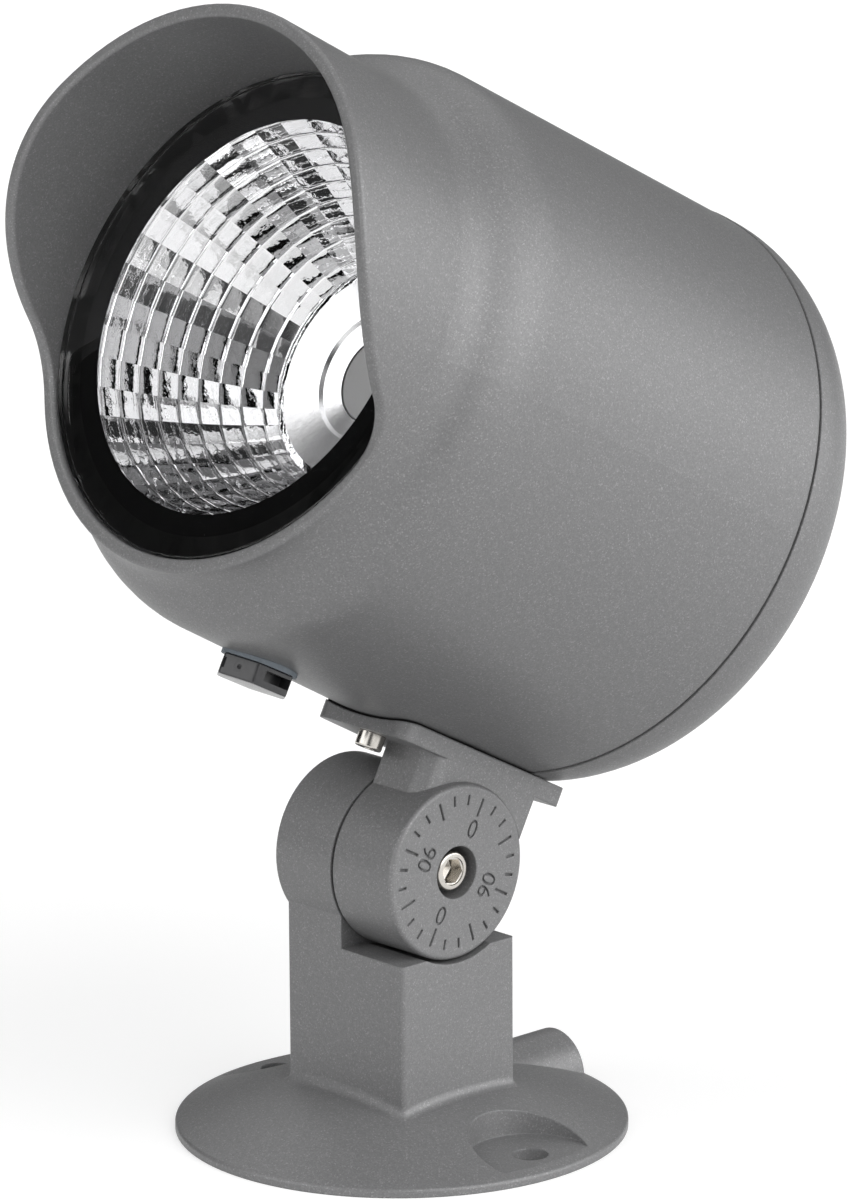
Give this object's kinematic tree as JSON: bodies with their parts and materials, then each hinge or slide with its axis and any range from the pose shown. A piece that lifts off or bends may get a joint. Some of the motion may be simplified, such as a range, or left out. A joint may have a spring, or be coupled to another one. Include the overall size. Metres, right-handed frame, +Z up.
{
  "type": "outdoor spotlight",
  "caption": "Round die-cast outdoor spotlight with a scalloped glare hood and faceted reflector, tilting on a dial knuckle above a square post and domed screw-down base.",
  "frame": {"origin": "centre of the base's underside, midway between the two fixing holes", "axes": "+Z up along the post, the head faces -Y, the tilt axis lies along X with the dial on +X"},
  "size_m": [0.1544, 0.1947, 0.2912],
  "materials": {
    "grey_coating": "die-cast aluminium with a satin grey powder coat that holds a fine metallic sparkle",
    "black_rubber": "matt black",
    "grey_rubber": "matt blue-grey",
    "stainless_steel": "bright stainless steel",
    "clear_glass": "clear toughened glass with a black printed border",
    "mirror_coat": "vacuum-metallised mirror facets",
    "led_phosphor": "diffuse grey disc, unlit",
    "board_white": "white solder mask on a metal core",
    "holder_plastic": "white nylon",
    "bare_aluminium": "as cast",
    "driver_case": "white polycarbonate",
    "black_plastic": "black moulded nylon, semi-matt"
  },
  "bodies": {
    "base": {"base_casting": "grey_coating", "cable_grommet": "black_rubber", "terminal_block": "holder_plastic", "terminal_screw": "stainless_steel", "earth_screw": "stainless_steel", "pivot_bolt": "stainless_steel", "pivot_washer": "stainless_steel", "pivot_nut": "stainless_steel", "pivot_o_ring": "black_rubber"},
    "head": {"knuckle_bracket": "grey_coating", "head_housing": "grey_coating", "rear_cover": "grey_coating", "plate_gasket": "black_rubber", "glass_seal": "black_rubber", "rear_cover_seal": "black_rubber", "plate_front_screw": "stainless_steel", "plate_inner_screws": "stainless_steel", "rear_cover_screws": "stainless_steel", "reflector_screws": "stainless_steel", "led_holder_screws": "stainless_steel", "heat_sink_screws": "stainless_steel", "driver_screws": "stainless_steel", "front_glass": "clear_glass", "reflector": "mirror_coat", "led_emitter": "led_phosphor", "led_board": "board_white", "led_holder": "holder_plastic", "heat_sink": "bare_aluminium", "driver": "driver_case", "vent_plug": "black_plastic", "vent_seal": "grey_rubber"}
  },
  "joints": [
    {"name": "head_tilt", "type": "hinge", "parent": "base", "child": "head", "pos_m": [0, 0, 0.0706], "axis": [-1, 0, 0], "range_deg": [-73.37, 61.63]}
  ]
}
